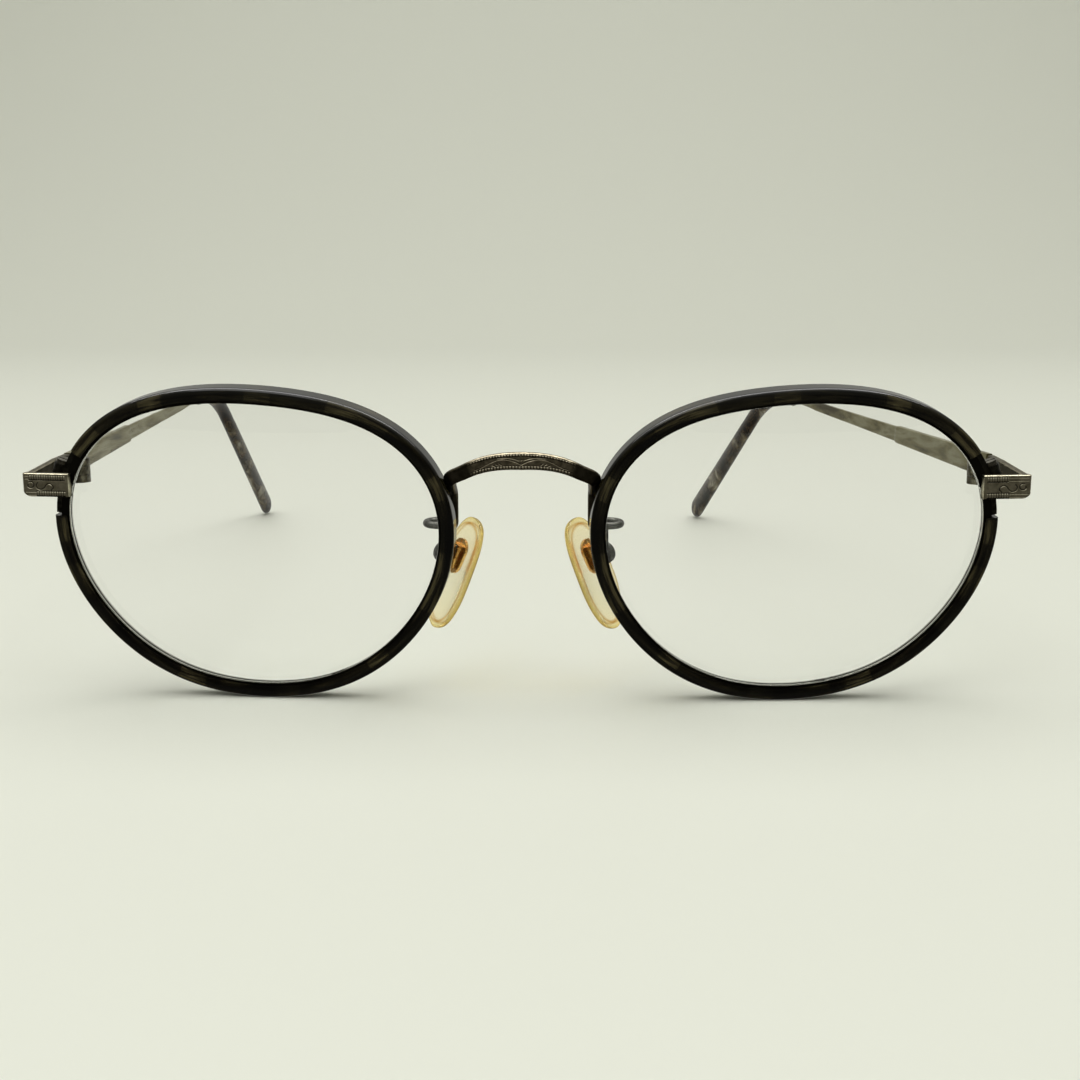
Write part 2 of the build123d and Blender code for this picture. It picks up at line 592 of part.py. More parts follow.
def pad_screw():
    """Slotted screw through the box and the lug, its head at the back."""
    head_x = BOX_DEPTH / 2 + PAD_SCREW_HEAD / 2
    screw = Rot(0, 90, 0) * Cylinder(PAD_SCREW_RADIUS, BOX_DEPTH)
    screw += Pos(head_x, 0, 0) * Rot(0, 90, 0) * Cylinder(PAD_SCREW_HEAD_RADIUS, PAD_SCREW_HEAD)
    slot = Box(PAD_SCREW_HEAD, 3 * PAD_SCREW_HEAD_RADIUS, SLOT_WIDTH)
    return screw - Pos(head_x + PAD_SCREW_HEAD / 2, 0, 0) * slot


def pad_arm():
    """Wire from the foot of the bridge's leg, looped out and back to the box."""
    seat = (PIVOT_PLACE * Pos(0, ARM_SEAT_RISE, ARM_SEAT)).position
    rear_y = LEG_Y + ARM_LOOP
    level = LEG_FOOT.Z + ARM_RISE
    points = (
        (LEG_HALF_SPAN, LEG_Y, level),
        (ARM_HALF_SPAN, LEG_Y, level),
        (ARM_HALF_SPAN, rear_y, level),
        (seat.X, rear_y, level),
        seat,
    )
    loop_bend = 0.48 * ARM_LOOP
    return rod(points, ARM_RADIUS, (loop_bend, loop_bend, ARM_BEND))


# ---- Bridge ----

def bridge_strap():
    """Arched strap, bowed forwards over the nose."""
    crown = LIFT + BRIDGE_CROWN
    reach = BRIDGE_HALF_SPAN
    end_top = crown - BRIDGE_ARCH
    end_bottom = end_top - BRIDGE_END_HEIGHT
    upper = ThreePointArc((-reach, 0, end_top), (0, 0, crown), (reach, 0, end_top))
    lower = ThreePointArc((reach, 0, end_bottom), (0, 0, crown - BRIDGE_HEIGHT), (-reach, 0, end_bottom))
    ends = [Line(upper @ 1, lower @ 0), Line(lower @ 1, upper @ 0)]
    view = make_face([upper, ends[0], lower, ends[1]])
    slab = Pos(0, -FAR / 4, 0) * extrude(view, amount=FAR / 2, dir=(0, 1, 0))
    front = BRIDGE_REACH - BRIDGE_BOW
    face = ThreePointArc((-reach, BRIDGE_REACH, 0), (0, front, 0), (reach, BRIDGE_REACH, 0))
    back = ThreePointArc((reach, BRIDGE_REACH + BRIDGE_THICKNESS, 0), (0, front + BRIDGE_THICKNESS, 0),
                         (-reach, BRIDGE_REACH + BRIDGE_THICKNESS, 0))
    plan = make_face([face, Line(face @ 1, back @ 0), back, Line(back @ 1, face @ 0)])
    return slab & extrude(plan, amount=FAR, dir=(0, 0, 1))


def bridge_leg():
    """Round leg from the strap's end, down behind the cover to the eye wire."""
    strap_z = LIFT + BRIDGE_CROWN - BRIDGE_ARCH - BRIDGE_END_HEIGHT / 2
    strap_y = BRIDGE_REACH + BRIDGE_THICKNESS / 2
    arch_slope = BRIDGE_ARCH / BRIDGE_HALF_SPAN
    bow_slope = BRIDGE_BOW / BRIDGE_HALF_SPAN
    points = (
        (BRIDGE_HALF_SPAN - LEG_LAP, strap_y - LEG_LAP * bow_slope, strap_z + LEG_LAP * arch_slope),
        (LEG_HALF_SPAN, strap_y, strap_z - KNEE_DROP),
        (LEG_HALF_SPAN, LEG_Y, LEG_FOOT.Z + LEG_TURN),
        (LEG_HALF_SPAN, LEG_Y, LEG_FOOT.Z),
        LEG_FOOT - Vector(0, WIRE_WIDTH / 4, 0),
    )
    return rod(points, LEG_RADIUS, LEG_BEND)


# ---- Assembly ----

def write(name, shape):
    export_step(shape, "parts/" + name + ".step")


def write_pair(name, left_shape):
    """Writes the left piece and its mirrored right twin."""
    write("left_" + name, left_shape)
    write("right_" + name, mirror(left_shape, about=Plane.YZ))


def write_swinging_pair(name, shape):
    """Writes a temple piece: left one partly folded, right one open."""
    write("left_" + name, HINGE_PLACE * Rot(0, 0, LEFT_FOLD) * shape)
    write("right_" + name, mirror(HINGE_PLACE * shape, about=Plane.YZ))


def rim_placed(shape):
    return STAND * RIM_PLACE * shape


left_wire = rim_placed(eye_wire())
plate = end_piece()

write_pair("eye_wire", left_wire)
left_cover = rim_placed(rim_cover())
write_pair("rim_cover", left_cover)
write_pair("lens", rim_placed(lens()))
write_pair("closing_block_upper", rim_placed(closing_block(True)) - plate)
write_pair("closing_block_lower", rim_placed(closing_block(False)) - plate)
write_pair("rim_screw", rim_placed(rim_screw()))
write_pair("end_piece", plate - left_wire)
write_pair("front_hinge", HINGE_PLACE * hinge_leaf((-1, 1), -1))
write_pair("hinge_screw", HINGE_PLACE * hinge_screw())

write_swinging_pair("temple_hinge", hinge_leaf((0,), 1))
write_swinging_pair("temple", temple())
write_swinging_pair("temple_tip", temple_tip())

write_pair("nose_pad", PAD_PLACE * nose_pad())
write_pair("pad_core", PAD_PLACE * pad_core())
left_box = PIVOT_PLACE * pad_box()
write_pair("pad_box", left_box)
write_pair("pad_screw", PIVOT_PLACE * pad_screw())
legs = bridge_leg()
write_pair("pad_arm", one_solid(pad_arm() - legs - left_box))

fronts = (left_wire, left_cover, mirror(left_wire, about=Plane.YZ), mirror(left_cover, about=Plane.YZ))
write("bridge", bridge_strap() + legs + mirror(legs, about=Plane.YZ) - fronts)

print("lift", LIFT)
print("hinge pin", HINGE_PLACE.position)
print("pad pivot", PIVOT_PLACE.position, "axis", Plane(PIVOT_PLACE).x_dir)
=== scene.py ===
import json
import math

import bmesh
import bpy
from mathutils import Matrix, Vector
from mathutils.kdtree import KDTree


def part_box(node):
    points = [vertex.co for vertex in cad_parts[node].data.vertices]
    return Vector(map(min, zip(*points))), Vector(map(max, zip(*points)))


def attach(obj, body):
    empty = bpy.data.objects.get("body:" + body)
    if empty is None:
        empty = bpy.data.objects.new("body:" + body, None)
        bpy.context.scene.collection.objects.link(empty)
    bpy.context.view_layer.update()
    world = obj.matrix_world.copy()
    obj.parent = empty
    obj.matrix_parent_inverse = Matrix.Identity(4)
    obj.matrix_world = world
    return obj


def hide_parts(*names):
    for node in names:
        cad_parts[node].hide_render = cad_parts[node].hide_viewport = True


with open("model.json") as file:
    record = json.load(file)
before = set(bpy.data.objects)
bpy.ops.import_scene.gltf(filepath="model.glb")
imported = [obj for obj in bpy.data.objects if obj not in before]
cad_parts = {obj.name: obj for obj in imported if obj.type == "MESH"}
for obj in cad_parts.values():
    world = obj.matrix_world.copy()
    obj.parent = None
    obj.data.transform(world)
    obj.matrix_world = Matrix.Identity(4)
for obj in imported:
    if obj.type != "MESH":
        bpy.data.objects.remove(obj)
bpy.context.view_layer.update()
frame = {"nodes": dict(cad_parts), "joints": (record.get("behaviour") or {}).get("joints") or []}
nodes = frame["nodes"]

# ---- Camera ----
# Held a forearm's length in front of the frame and a little above it, looking
# slightly down, with the frame standing on a table.
MM = 0.001
EYE = Vector((7.2, -182.3, 59.5)) * MM
YAW, PITCH, ROLL = math.radians(1.52), math.radians(78.5), math.radians(-0.13)
FOCAL = 48.33

camera = bpy.data.objects.new("camera", bpy.data.cameras.new("camera"))
camera.data.lens = FOCAL
camera.data.sensor_width = 36.0
camera.data.clip_start = 0.01
turn = Matrix.Rotation(YAW, 4, "Z") @ Matrix.Rotation(PITCH, 4, "X") @ Matrix.Rotation(ROLL, 4, "Z")
camera.matrix_world = Matrix.Translation(EYE) @ turn
bpy.context.scene.collection.objects.link(camera)
bpy.context.scene.camera = camera

# ---- Eye wires ----
# Nickel silver profile wire with a lens groove, bent to the rim's outline and
# soldered. It is blackened; the face that looks in towards the lens is painted
# bright, a painted highlight for the bright line along its inner edge.


def linear(code):
    """Linear colour of an sRGB hex value."""
    parts = [int(code[i:i + 2], 16) / 255 for i in (1, 3, 5)]
    return [p / 12.92 if p <= 0.04045 else ((p + 0.055) / 1.055) ** 2.4 for p in parts] + [1.0]


def add(tree, kind, settings=None, inputs=None):
    """Adds a shader node, sets its settings and fills or links its inputs."""
    made = tree.nodes.new(kind)
    for name, value in (settings or {}).items():
        setattr(made, name, value)
    for name, value in (inputs or {}).items():
        if isinstance(value, bpy.types.NodeSocket):
            tree.links.new(value, made.inputs[name])
        else:
            made.inputs[name].default_value = value
    return made


def finish(name, **values):
    """A new material; returns it with its tree and its Principled shader."""
    made = bpy.data.materials.new(name)
    made.use_nodes = True
    skin = made.node_tree.nodes["Principled BSDF"]
    for key, value in values.items():
        skin.inputs[key.replace("_", " ")].default_value = value
    return made, made.node_tree, skin


def blend_of(tree, share, *stops):
    """Colour ramp over (position, hex colour) stops."""
    ramp = add(tree, "ShaderNodeValToRGB", {}, {"Fac": share})
    while len(ramp.color_ramp.elements) < len(stops):
        ramp.color_ramp.elements.new(1.0)
    for element, (position, code) in zip(ramp.color_ramp.elements, stops):
        element.position = position
        element.color = linear(code)
    return ramp.outputs["Color"]


def spread(tree, share, low, high, new_low, new_high):
    """Maps a value from one range to another."""
    inputs = {"Value": share, "From Min": low, "From Max": high, "To Min": new_low, "To Max": new_high}
    return add(tree, "ShaderNodeMapRange", {}, inputs).outputs["Result"]


def noise(tree, size_mm, detail=3.0, distortion=0.0, stretch=(1, 1, 1), along=None):
    """Noise whose features are about size_mm across, in space or along a piece."""
    if along:
        place = add(tree, "ShaderNodeAttribute", {"attribute_name": along}).outputs["Vector"]
    else:
        place = add(tree, "ShaderNodeTexCoord").outputs["Object"]
    place = add(tree, "ShaderNodeMapping", {}, {"Vector": place, "Scale": stretch}).outputs["Vector"]
    inputs = {"Vector": place, "Scale": 1 / (size_mm * MM), "Detail": detail, "Distortion": distortion}
    return add(tree, "ShaderNodeTexNoise", {}, inputs).outputs["Fac"]


def grain(tree, skin, share, height_mm):
    """Bump of that height on the skin."""
    inputs = {"Height": share, "Distance": height_mm * MM, "Strength": 1.0}
    bump = add(tree, "ShaderNodeBump", {}, inputs)
    tree.links.new(bump.outputs["Normal"], skin.inputs["Normal"])


def wear(name, light, dark, rough_low, rough_high, cloud_mm, grit_mm, grit_height_mm):
    """Metal with cloudy tarnish and fine grit, which roughens where it is dark."""
    made, tree, skin = finish(name, Metallic=1.0)
    cloud = noise(tree, cloud_mm)
    tree.links.new(blend_of(tree, cloud, (0.35, dark), (0.65, light)), skin.inputs["Base Color"])
    tree.links.new(spread(tree, cloud, 0.35, 0.65, rough_high, rough_low), skin.inputs["Roughness"])
    grain(tree, skin, noise(tree, grit_mm, 2.0), grit_height_mm)
    return made


def multiplied(tree, share, first, second):
    """Product of two colours, mixed in by a share."""
    settings = {"data_type": "RGBA", "blend_type": "MULTIPLY"}
    return add(tree, "ShaderNodeMix", settings, {0: share, 6: first, 7: second}).outputs[2]


def dress(material, *names):
    """Gives CAD nodes a material."""
    for name in names:
        slots = nodes[name].data.materials
        slots.clear()
        slots.append(material)


SIDES = ("left_", "right_")

for side in SIDES:
    wire, tree, skin = finish(side + "nickel_silver_wire_painted_highlight", Metallic=1.0)
    low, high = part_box(side + "eye_wire")
    middle = (Vector(low) + Vector(high)) / 2
    place = add(tree, "ShaderNodeTexCoord")
    inwards = add(tree, "ShaderNodeVectorMath", {"operation": "SUBTRACT"},
                  {0: middle, 1: place.outputs["Object"]})
    inwards = add(tree, "ShaderNodeVectorMath", {"operation": "NORMALIZE"}, {0: inwards.outputs["Vector"]})
    facing = add(tree, "ShaderNodeVectorMath", {"operation": "DOT_PRODUCT"},
                 {0: inwards.outputs["Vector"], 1: place.outputs["Normal"]})
    # Painted highlight: the more a face looks in towards the lens, the brighter and smoother it is painted.
    rubbed_and_painted_highlight = spread(tree, facing.outputs["Value"], 0.45, 0.8, 0.0, 1.0)
    tree.links.new(blend_of(tree, rubbed_and_painted_highlight, (0.0, "#26241F"), (1.0, "#C9C8BE")), skin.inputs["Base Color"])
    tree.links.new(spread(tree, rubbed_and_painted_highlight, 0.0, 1.0, 0.45, 0.2), skin.inputs["Roughness"])
    grain(tree, skin, noise(tree, 0.08, 2.0), 0.002)
    dress(wire, side + "eye_wire")

# ---- Rim covers ----
# Cellulose acetate sheath, cut from marbled sheet, snapped over the eye wire
# from outside and polished: near black with smoky olive and brown streaks.
LENS_SPACING = 71.0
RIM_RADIUS, RIM_OVAL, RIM_SLANT, RIM_EGG, RIM_SHOULDER = 23.7, 2.78, 0.4, 0.7, 0.15
BASE_CURVE = 118.0          # radius of the dome that both fronts follow
FACE_WRAP, FRONT_LEAN = 3.4, 4.0
COVER_START, COVER_END = 26.5, 366.5
# Corners of the C-shaped section, out from the rim's edge and up to its front.
COVER_SECTION = ((-1.7, 0.0), (-1.7, 0.1), (-0.9, 0.26), (0, 0), (0, -3.1), (-1.7, -2.75), (-1.7, -2.25),
                 (-0.75, -2.45), (-0.75, -0.35), (-1.7, -0.15), (-1.7, 0.0))
COVER_ROUNDS = (0.04, 0.35, 0.5, 0.45, 0.1, 0.05, 0.05, 0.05, 0.05)

acetate, tree, skin = finish("smoky_marbled_acetate", IOR=1.48)
streak = noise(tree, 1.2, 3.0, 0.0, (0.09, 1, 1), "flow")
fleck = noise(tree, 0.35, 3.0, 0.0, (0.06, 1, 1), "flow")
body = blend_of(tree, streak, (0.35, "#0D0C08"), (0.48, "#2A2618"), (0.57, "#575038"), (0.66, "#221E14"))
shade = blend_of(tree, fleck, (0.42, "#2A2924"), (0.58, "#FFFFFF"))
marbled = multiplied(tree, 0.8, body, shade)
block = noise(tree, 14.0, 0.0, 0.0, (1, 0.1, 0.1), "flow")
smoky = blend_of(tree, block, (0.43, "#707070"), (0.436, "#B8B8B8"), (0.5, "#E0E0E0"), (0.55, "#C8C8C8"),
                 (0.556, "#7A7A7A"), (0.62, "#686868"))
tree.links.new(multiplied(tree, 1.0, marbled, smoky), skin.inputs["Base Color"])
tree.links.new(spread(tree, fleck, 0.3, 0.7, 0.04, 0.09), skin.inputs["Roughness"])

MIRROR = Matrix.Scale(-1, 4, (1, 0, 0))
ARC_STEPS = 24
COVER_STEP, COVER_RING_STEP = 0.5, 0.12


def route(corners, radii, step):
    """Points a step apart along straight runs that are joined by arcs."""
    line = [corners[0]]
    for a, b, c, radius in zip(corners, corners[1:], corners[2:], radii):
        back, onward = (a - b).normalized(), (c - b).normalized()
        half = back.angle(onward) / 2
        centre = b + (back + onward).normalized() * (radius / math.sin(half))
        start, end = b + back * (radius / math.tan(half)), b + onward * (radius / math.tan(half))
        for i in range(ARC_STEPS + 1):
            line.append(centre + (start - centre).slerp(end - centre, i / ARC_STEPS) * radius)
    line.append(corners[-1])
    return evenly(line, step)


def evenly(line, step):
    """The same line with its points a step apart."""
    marks = [0.0]
    for a, b in zip(line, line[1:]):
        marks.append(marks[-1] + (b - a).length)
    count = max(2, round(marks[-1] / step))
    spaced, i = [], 0
    for k in range(count + 1):
        mark = marks[-1] * k / count
        while i < len(line) - 2 and marks[i + 1] < mark:
            i += 1
        gap = marks[i + 1] - marks[i] or 1.0
        spaced.append(line[i].lerp(line[i + 1], min(1.0, (mark - marks[i]) / gap)))
    return spaced


def swept(line, side, around, section, start=0):
    """Closed skin along a line, from a grid that is rolled up round it.

    section(i, share) gives, for point i of the line and a share of the way
    round, how far out and up the skin lies and how deep it is engraved.
    Out is along side at point start, and turns with the line from there.
    """
    runs = [(b - a).normalized() for a, b in zip(line, line[1:])]
    headings = [runs[0]] + [(a + b).normalized() for a, b in zip(runs, runs[1:])] + [runs[-1]]
    rings = len(line) - 1
    sides = {start: (side - headings[start] * side.dot(headings[start])).normalized()}
    for i in range(start, rings):
        sides[i + 1] = headings[i].rotation_difference(headings[i + 1]) @ sides[i]
    for i in range(start, 0, -1):
        sides[i - 1] = headings[i].rotation_difference(headings[i - 1]) @ sides[i]
    bm = bmesh.new()
    bmesh.ops.create_grid(bm, x_segments=rings, y_segments=around, size=0.5)
    depth = bm.verts.layers.float.new("recess")
    flow = bm.verts.layers.float_vector.new("flow")
    step = (line[1] - line[0]).length
    for v in bm.verts:
        i = round((v.co.x + 0.5) * rings)
        out, up, v[depth] = section(i, v.co.y + 0.5)
        v[flow] = Vector((i * step, out, up)) * MM
        v.co = (line[i] + sides[i] * out + sides[i].cross(headings[i]) * up) * MM
    bmesh.ops.remove_doubles(bm, verts=bm.verts, dist=2e-7)
    bmesh.ops.holes_fill(bm, edges=[e for e in bm.edges if e.is_boundary])
    bmesh.ops.triangulate(bm, faces=[f for f in bm.faces if len(f.verts) > 4])
    bmesh.ops.recalc_face_normals(bm, faces=bm.faces)
    return bm


def piece(name, bm, place, material, body, slot, *replaced, sharp=40.0):
    """Puts a mesh in its place as a piece of the object, riding on a body."""
    bmesh.ops.transform(bm, matrix=place, verts=bm.verts)
    if place.determinant() < 0:
        bmesh.ops.reverse_faces(bm, faces=bm.faces)
    mesh = bpy.data.meshes.new(name)
    bm.to_mesh(mesh)
    bm.free()
    mesh.materials.append(material)
    mesh.shade_smooth()
    mesh.set_sharp_from_angle(angle=math.radians(sharp))
    made = bpy.data.objects.new(name, mesh)
    bpy.context.scene.collection.objects.link(made)
    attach(made, body)
    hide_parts(*replaced)
    return made


def rim_point(angle):
    """Point of a rim's outer edge in front, from the lens's axis."""
    a = math.radians(angle)
    r = RIM_RADIUS + RIM_OVAL * math.cos(2 * a) + RIM_SLANT * math.sin(2 * a)
    r += RIM_EGG * math.sin(3 * a) + RIM_SHOULDER * math.sin(5 * a)
    x, z = r * math.cos(a), r * math.sin(a)
    return Vector((x, BASE_CURVE - math.sqrt(BASE_CURVE**2 - x**2 - z**2), z))


rim_place = Matrix.Rotation(math.radians(FRONT_LEAN), 4, "X") @ Matrix.Translation((LENS_SPACING / 2, 0, 0))
rim_place = rim_place @ Matrix.Rotation(math.radians(FACE_WRAP), 4, "Z")
lowest = min((rim_place @ rim_point(a)).z for a in range(180, 360))
rim_place = Matrix.Translation((0, 0, -lowest)) @ rim_place
cover_angles = [COVER_START + (COVER_END - COVER_START) * i / 400 for i in range(401)]
cover_line = evenly([rim_place @ rim_point(a) for a in cover_angles], COVER_STEP)
cover_ring = route([Vector((out, up, 0)) for out, up in COVER_SECTION], COVER_ROUNDS, COVER_RING_STEP)


def cover_section(i, share):
    """The C-shaped section, polished round at its outer corners."""
    corner = cover_ring[round(share * (len(cover_ring) - 1))]
    return corner.x, corner.y, 0.0


first = math.radians(COVER_START)
outwards = rim_place.to_3x3() @ Vector((math.cos(first), 0, math.sin(first)))
for side, place in zip(SIDES, (Matrix.Identity(4), MIRROR)):
    made = swept(cover_line, outwards, len(cover_ring) - 1, cover_section)
    piece(side + "rim_cover_acetate", made, place, acetate, "front", "rim_acetate", side + "rim_cover",
          sharp=50.0)

# ---- Lenses ----
# Clear demonstration lenses of CR-39, edged with a bevel for the groove. They
# let the room's light through to the table, which glass in a render doesn't.
clear, tree, skin = finish("clear_cr39", Base_Color=linear("#FFFFFF"), Roughness=0.0, IOR=1.498,
                           Transmission_Weight=1.0)


def light_through(tree, skin, code):
    """Lets shadow rays pass, tinted with a hex colour."""
    window = add(tree, "ShaderNodeBsdfTransparent", {}, {"Color": linear(code)})
    rays = add(tree, "ShaderNodeLightPath")
    pane = add(tree, "ShaderNodeMixShader", {}, {0: rays.outputs["Is Shadow Ray"], 1: skin.outputs["BSDF"],
                                                 2: window.outputs["BSDF"]})
    tree.links.new(pane.outputs["Shader"], tree.nodes["Material Output"].inputs["Surface"])


light_through(tree, skin, "#F6F8F4")
dress(clear, *[side + "lens" for side in SIDES])

# ---- Closing blocks and rim screws ----
# Two blackened nickel silver blocks on the eye wire's ends, with a tapped
# barrel each, drawn together by a slotted steel screw.
gunmetal = wear("blackened_nickel_silver", "#45433C", "#1E1C17", 0.3, 0.5, 0.9, 0.1, 0.004)
screw_steel = wear("turned_steel", "#8C887C", "#4E4A40", 0.25, 0.4, 0.6, 0.06, 0.003)
for side in SIDES:
    dress(gunmetal, side + "closing_block_upper", side + "closing_block_lower")
    dress(screw_steel, side + "rim_screw", side + "hinge_screw", side + "pad_screw")

# ---- End pieces ----
# Die-struck nickel silver straps, blackened and rubbed back: a plate with two
# beaded borders and two scrolls in front, bent back to carry the hinge.
PLATE_CORNER = 65.95       # mid plane to the plate's outer corner
PLATE_TURN = 6.0            # degrees that the plate turns back with the face
PLATE_HEIGHT = 3.1
STRAP = 1.0                 # thickness of the bent strap
STRAP_BEND = 0.6            # outer bend radius
SEAT_LENGTH = 4.45          # straight part that the hinge is brazed to
SEAT_HEIGHT = 3.2
SEAT_RISE = 1.05            # middle of the seat above the plate's
SEAT_OUT = 2.7              # its outer face from the hinge's pin
SEAT_BEND = 3.0
STRAP_STEP = 0.05
EDGE_ROUND = 0.16
ENGRAVED = 0.07             # depth of the engraving
BEAD = 0.33                 # pitch of the beads
BEAD_FLAT, BEAD_RISE, BEAD_SPAN = 0.8, 1.6, 0.7  # flatness, height and share of the border
BORDER = 0.4                # half height of a border
CORNER_CUT, CUT_DEPTH = 1.4, 0.8  # width and depth of the cut under the outer corner
TOP_BORDER, LOW_BORDER = 1.0, -1.12
BORDER_FROM, BORDER_TO = 0.3, 5.9
RUBBED_LINE, RUBBED_WIDTH, RUBBED_DEPTH = 0.2, 0.07, 0.8  # two lines that a worn border leaves
UNPOLISHED = 0.85           # shade of the strap away from its front
LINE_WIDTH = 0.11           # half width of a scribed line
C_SCROLL = ((1.0, 0.36), (1.32, 0.42), (1.6, 0.12), (1.48, -0.27), (1.1, -0.38), (0.78, -0.2), (0.8, 0.02))
S_SCROLL = ((2.16, 0.3), (1.92, -0.05), (2.1, -0.45), (2.56, -0.6), (2.98, -0.38), (3.28, 0.0),
            (3.66, 0.2), (4.1, 0.02), (4.24, -0.36), (3.96, -0.66))
BEADS_FROM = {"left_": (3.1, 2.9), "right_": (0.9, 1.9)}  # where the rubbed borders still show beads


def engraved(name, dark, light, cloud_mm, sunk, bead, rough, grit_mm):
    """Rubbed metal, black where it is engraved and bright on its beads."""
    made, tree, skin = finish(name, Metallic=1.0)
    recess = add(tree, "ShaderNodeAttribute", {"attribute_name": "recess"}).outputs["Fac"]
    rubbed_and_painted_highlight = blend_of(tree, noise(tree, cloud_mm), (0.3, dark), (0.7, light))
    black = add(tree, "ShaderNodeMix", {"data_type": "RGBA"}, {0: recess, 6: rubbed_and_painted_highlight, 7: linear(sunk)})
    polish = spread(tree, recess, 0.0, -0.6, 0.0, 1.0)
    bright = add(tree, "ShaderNodeMix", {"data_type": "RGBA"},
                 {0: polish, 6: black.outputs[2], 7: linear(bead)})
    tree.links.new(bright.outputs[2], skin.inputs["Base Color"])
    tree.links.new(spread(tree, recess, 0.0, 1.0, *rough), skin.inputs["Roughness"])
    grain(tree, skin, noise(tree, grit_mm, 2.0), 0.002)
    return made


def corners_of(node):
    """Lowest and highest corners of a CAD node, in millimetres."""
    return [Vector(corner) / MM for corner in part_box(node)]


def smooth_line(points, steps=8):
    """Points of a smooth line through the given ones."""
    ends = [points[0] * 2 - points[1]] + points + [points[-1] * 2 - points[-2]]
    line = []
    for a, b, c, d in zip(ends, ends[1:], ends[2:], ends[3:]):
        for i in range(steps):
            t = i / steps
            bend = (2 * a - 5 * b + 4 * c - d) * t**2 + (3 * b - a - 3 * c + d) * t**3
            line.append((2 * b + (c - a) * t + bend) / 2)
    return line + [points[-1]]


def scribed(*lines):
    """Search tree over the points of engraved lines."""
    points = [p for line in lines for p in smooth_line([Vector((x, y, 0)) for x, y in line])]
    found = KDTree(len(points))
    for i, point in enumerate(points):
        found.insert(point, i)
    found.balance()
    return found


def groove(lines, along, up, half_width):
    """1 in the middle of an engraved line, 0 beside it."""
    distance = lines.find(Vector((along, up, 0)))[2]
    return max(0.0, 1 - (distance / half_width) ** 2)


def milgrain(along, up, half_height, pitch):
    """Sunk border with raised beads: 1 where it is sunk, below 0 on a bead."""
    if abs(up) > half_height:
        return 0.0
    bead = abs(math.sin(math.pi * along / pitch)) ** BEAD_FLAT
    return 1.0 - BEAD_RISE * bead * math.sqrt(max(0.0, 1 - (up / (BEAD_SPAN * half_height)) ** 2))


FACE_END, TOP_END, BACK_END = 0.66, 0.72, 0.94  # shares of the way round a flat bar


def bar_outline(share, low, high, thick, edge):
    """Flat bar's section: two thirds of the way round lie on its outer face."""
    def eased(near):
        return edge - math.sqrt(edge**2 - max(0.0, edge - near) ** 2)
    if share < FACE_END:
        up = low + (high - low) * share / FACE_END
        return -eased(min(up - low, high - up)), up, True
    if share < TOP_END:
        return -edge - (thick - 2 * edge) * (share - FACE_END) / (TOP_END - FACE_END), high, False
    if share < BACK_END:
        up = high - (high - low) * (share - TOP_END) / (BACK_END - TOP_END)
        return eased(min(up - low, high - up)) - thick, up, False
    return edge - thick + (thick - 2 * edge) * (share - BACK_END) / (1 - BACK_END), low, False


pewter = engraved("antiqued_nickel_silver", "#A8A188", "#DDD6BC", 0.8, "#140F06", "#DAD5BF",
                  (0.34, 0.55), 0.07)
end_low, end_high = corners_of("left_end_piece")
plate_middle = end_low.z + PLATE_HEIGHT / 2
plate_back = (PLATE_CORNER - end_low.x) * math.tan(math.radians(PLATE_TURN))
plate_corner = Vector((PLATE_CORNER, end_low.y + plate_back, 0))
pin = Vector(next(j for j in frame["joints"] if j["name"] == "left_temple_hinge_pin")["pos_m"]) / MM
seat_outer = pin.x + SEAT_OUT
seat_start = end_high.y - SEAT_LENGTH
strap_line = route([Vector((end_low.x, end_low.y, 0)), plate_corner, Vector((seat_outer, seat_start, 0)),
                    Vector((seat_outer, end_high.y, 0))], (STRAP_BEND, SEAT_BEND), STRAP_STEP)
scrolls = scribed(C_SCROLL, S_SCROLL)


def border(along, up, middle, beads_from):
    """A plate's border: beads where they aren't rubbed away, else two lines."""
    off = up - middle
    if not BORDER_FROM < along < BORDER_TO:
        return 0.0
    if along > beads_from:
        return milgrain(along, off, BORDER, BEAD)
    return max(0.0, 1 - abs(abs(off) - RUBBED_LINE) / RUBBED_WIDTH) * RUBBED_DEPTH


for side, place in zip(SIDES, (Matrix.Identity(4), MIRROR)):
    top_beads, low_beads = BEADS_FROM[side]

    def strap_section(i, share):
        at = strap_line[i]
        rise = min(1.0, max(0.0, (at.y - end_low.y - 2 * STRAP) / (seat_start - end_low.y - 2 * STRAP)))
        cut = max(0.0, 1 - (PLATE_CORNER - at.x) / CORNER_CUT) ** 2 * CUT_DEPTH
        low = -PLATE_HEIGHT / 2 + max(cut, rise * (SEAT_RISE - (SEAT_HEIGHT - PLATE_HEIGHT) / 2))
        high = PLATE_HEIGHT / 2 + rise * (SEAT_RISE + (SEAT_HEIGHT - PLATE_HEIGHT) / 2)
        out, up, face = bar_outline(share, low, high, STRAP, EDGE_ROUND)
        along = end_high.x - at.x
        depth = 0.0 if face else UNPOLISHED
        if face and at.y < plate_corner.y + STRAP:
            depth = border(along, up, TOP_BORDER, top_beads) + border(along, up, LOW_BORDER, low_beads)
            depth = depth or groove(scrolls, along, up, LINE_WIDTH)
        return out - ENGRAVED * depth * face, up, depth

    raised = [p + Vector((0, 0, plate_middle)) for p in strap_line]
    made = swept(raised, Vector((0, -1, 0)), 100, strap_section)
    piece(side + "end_piece_strap", made, place, pewter, "front", "antique_metal", side + "end_piece")

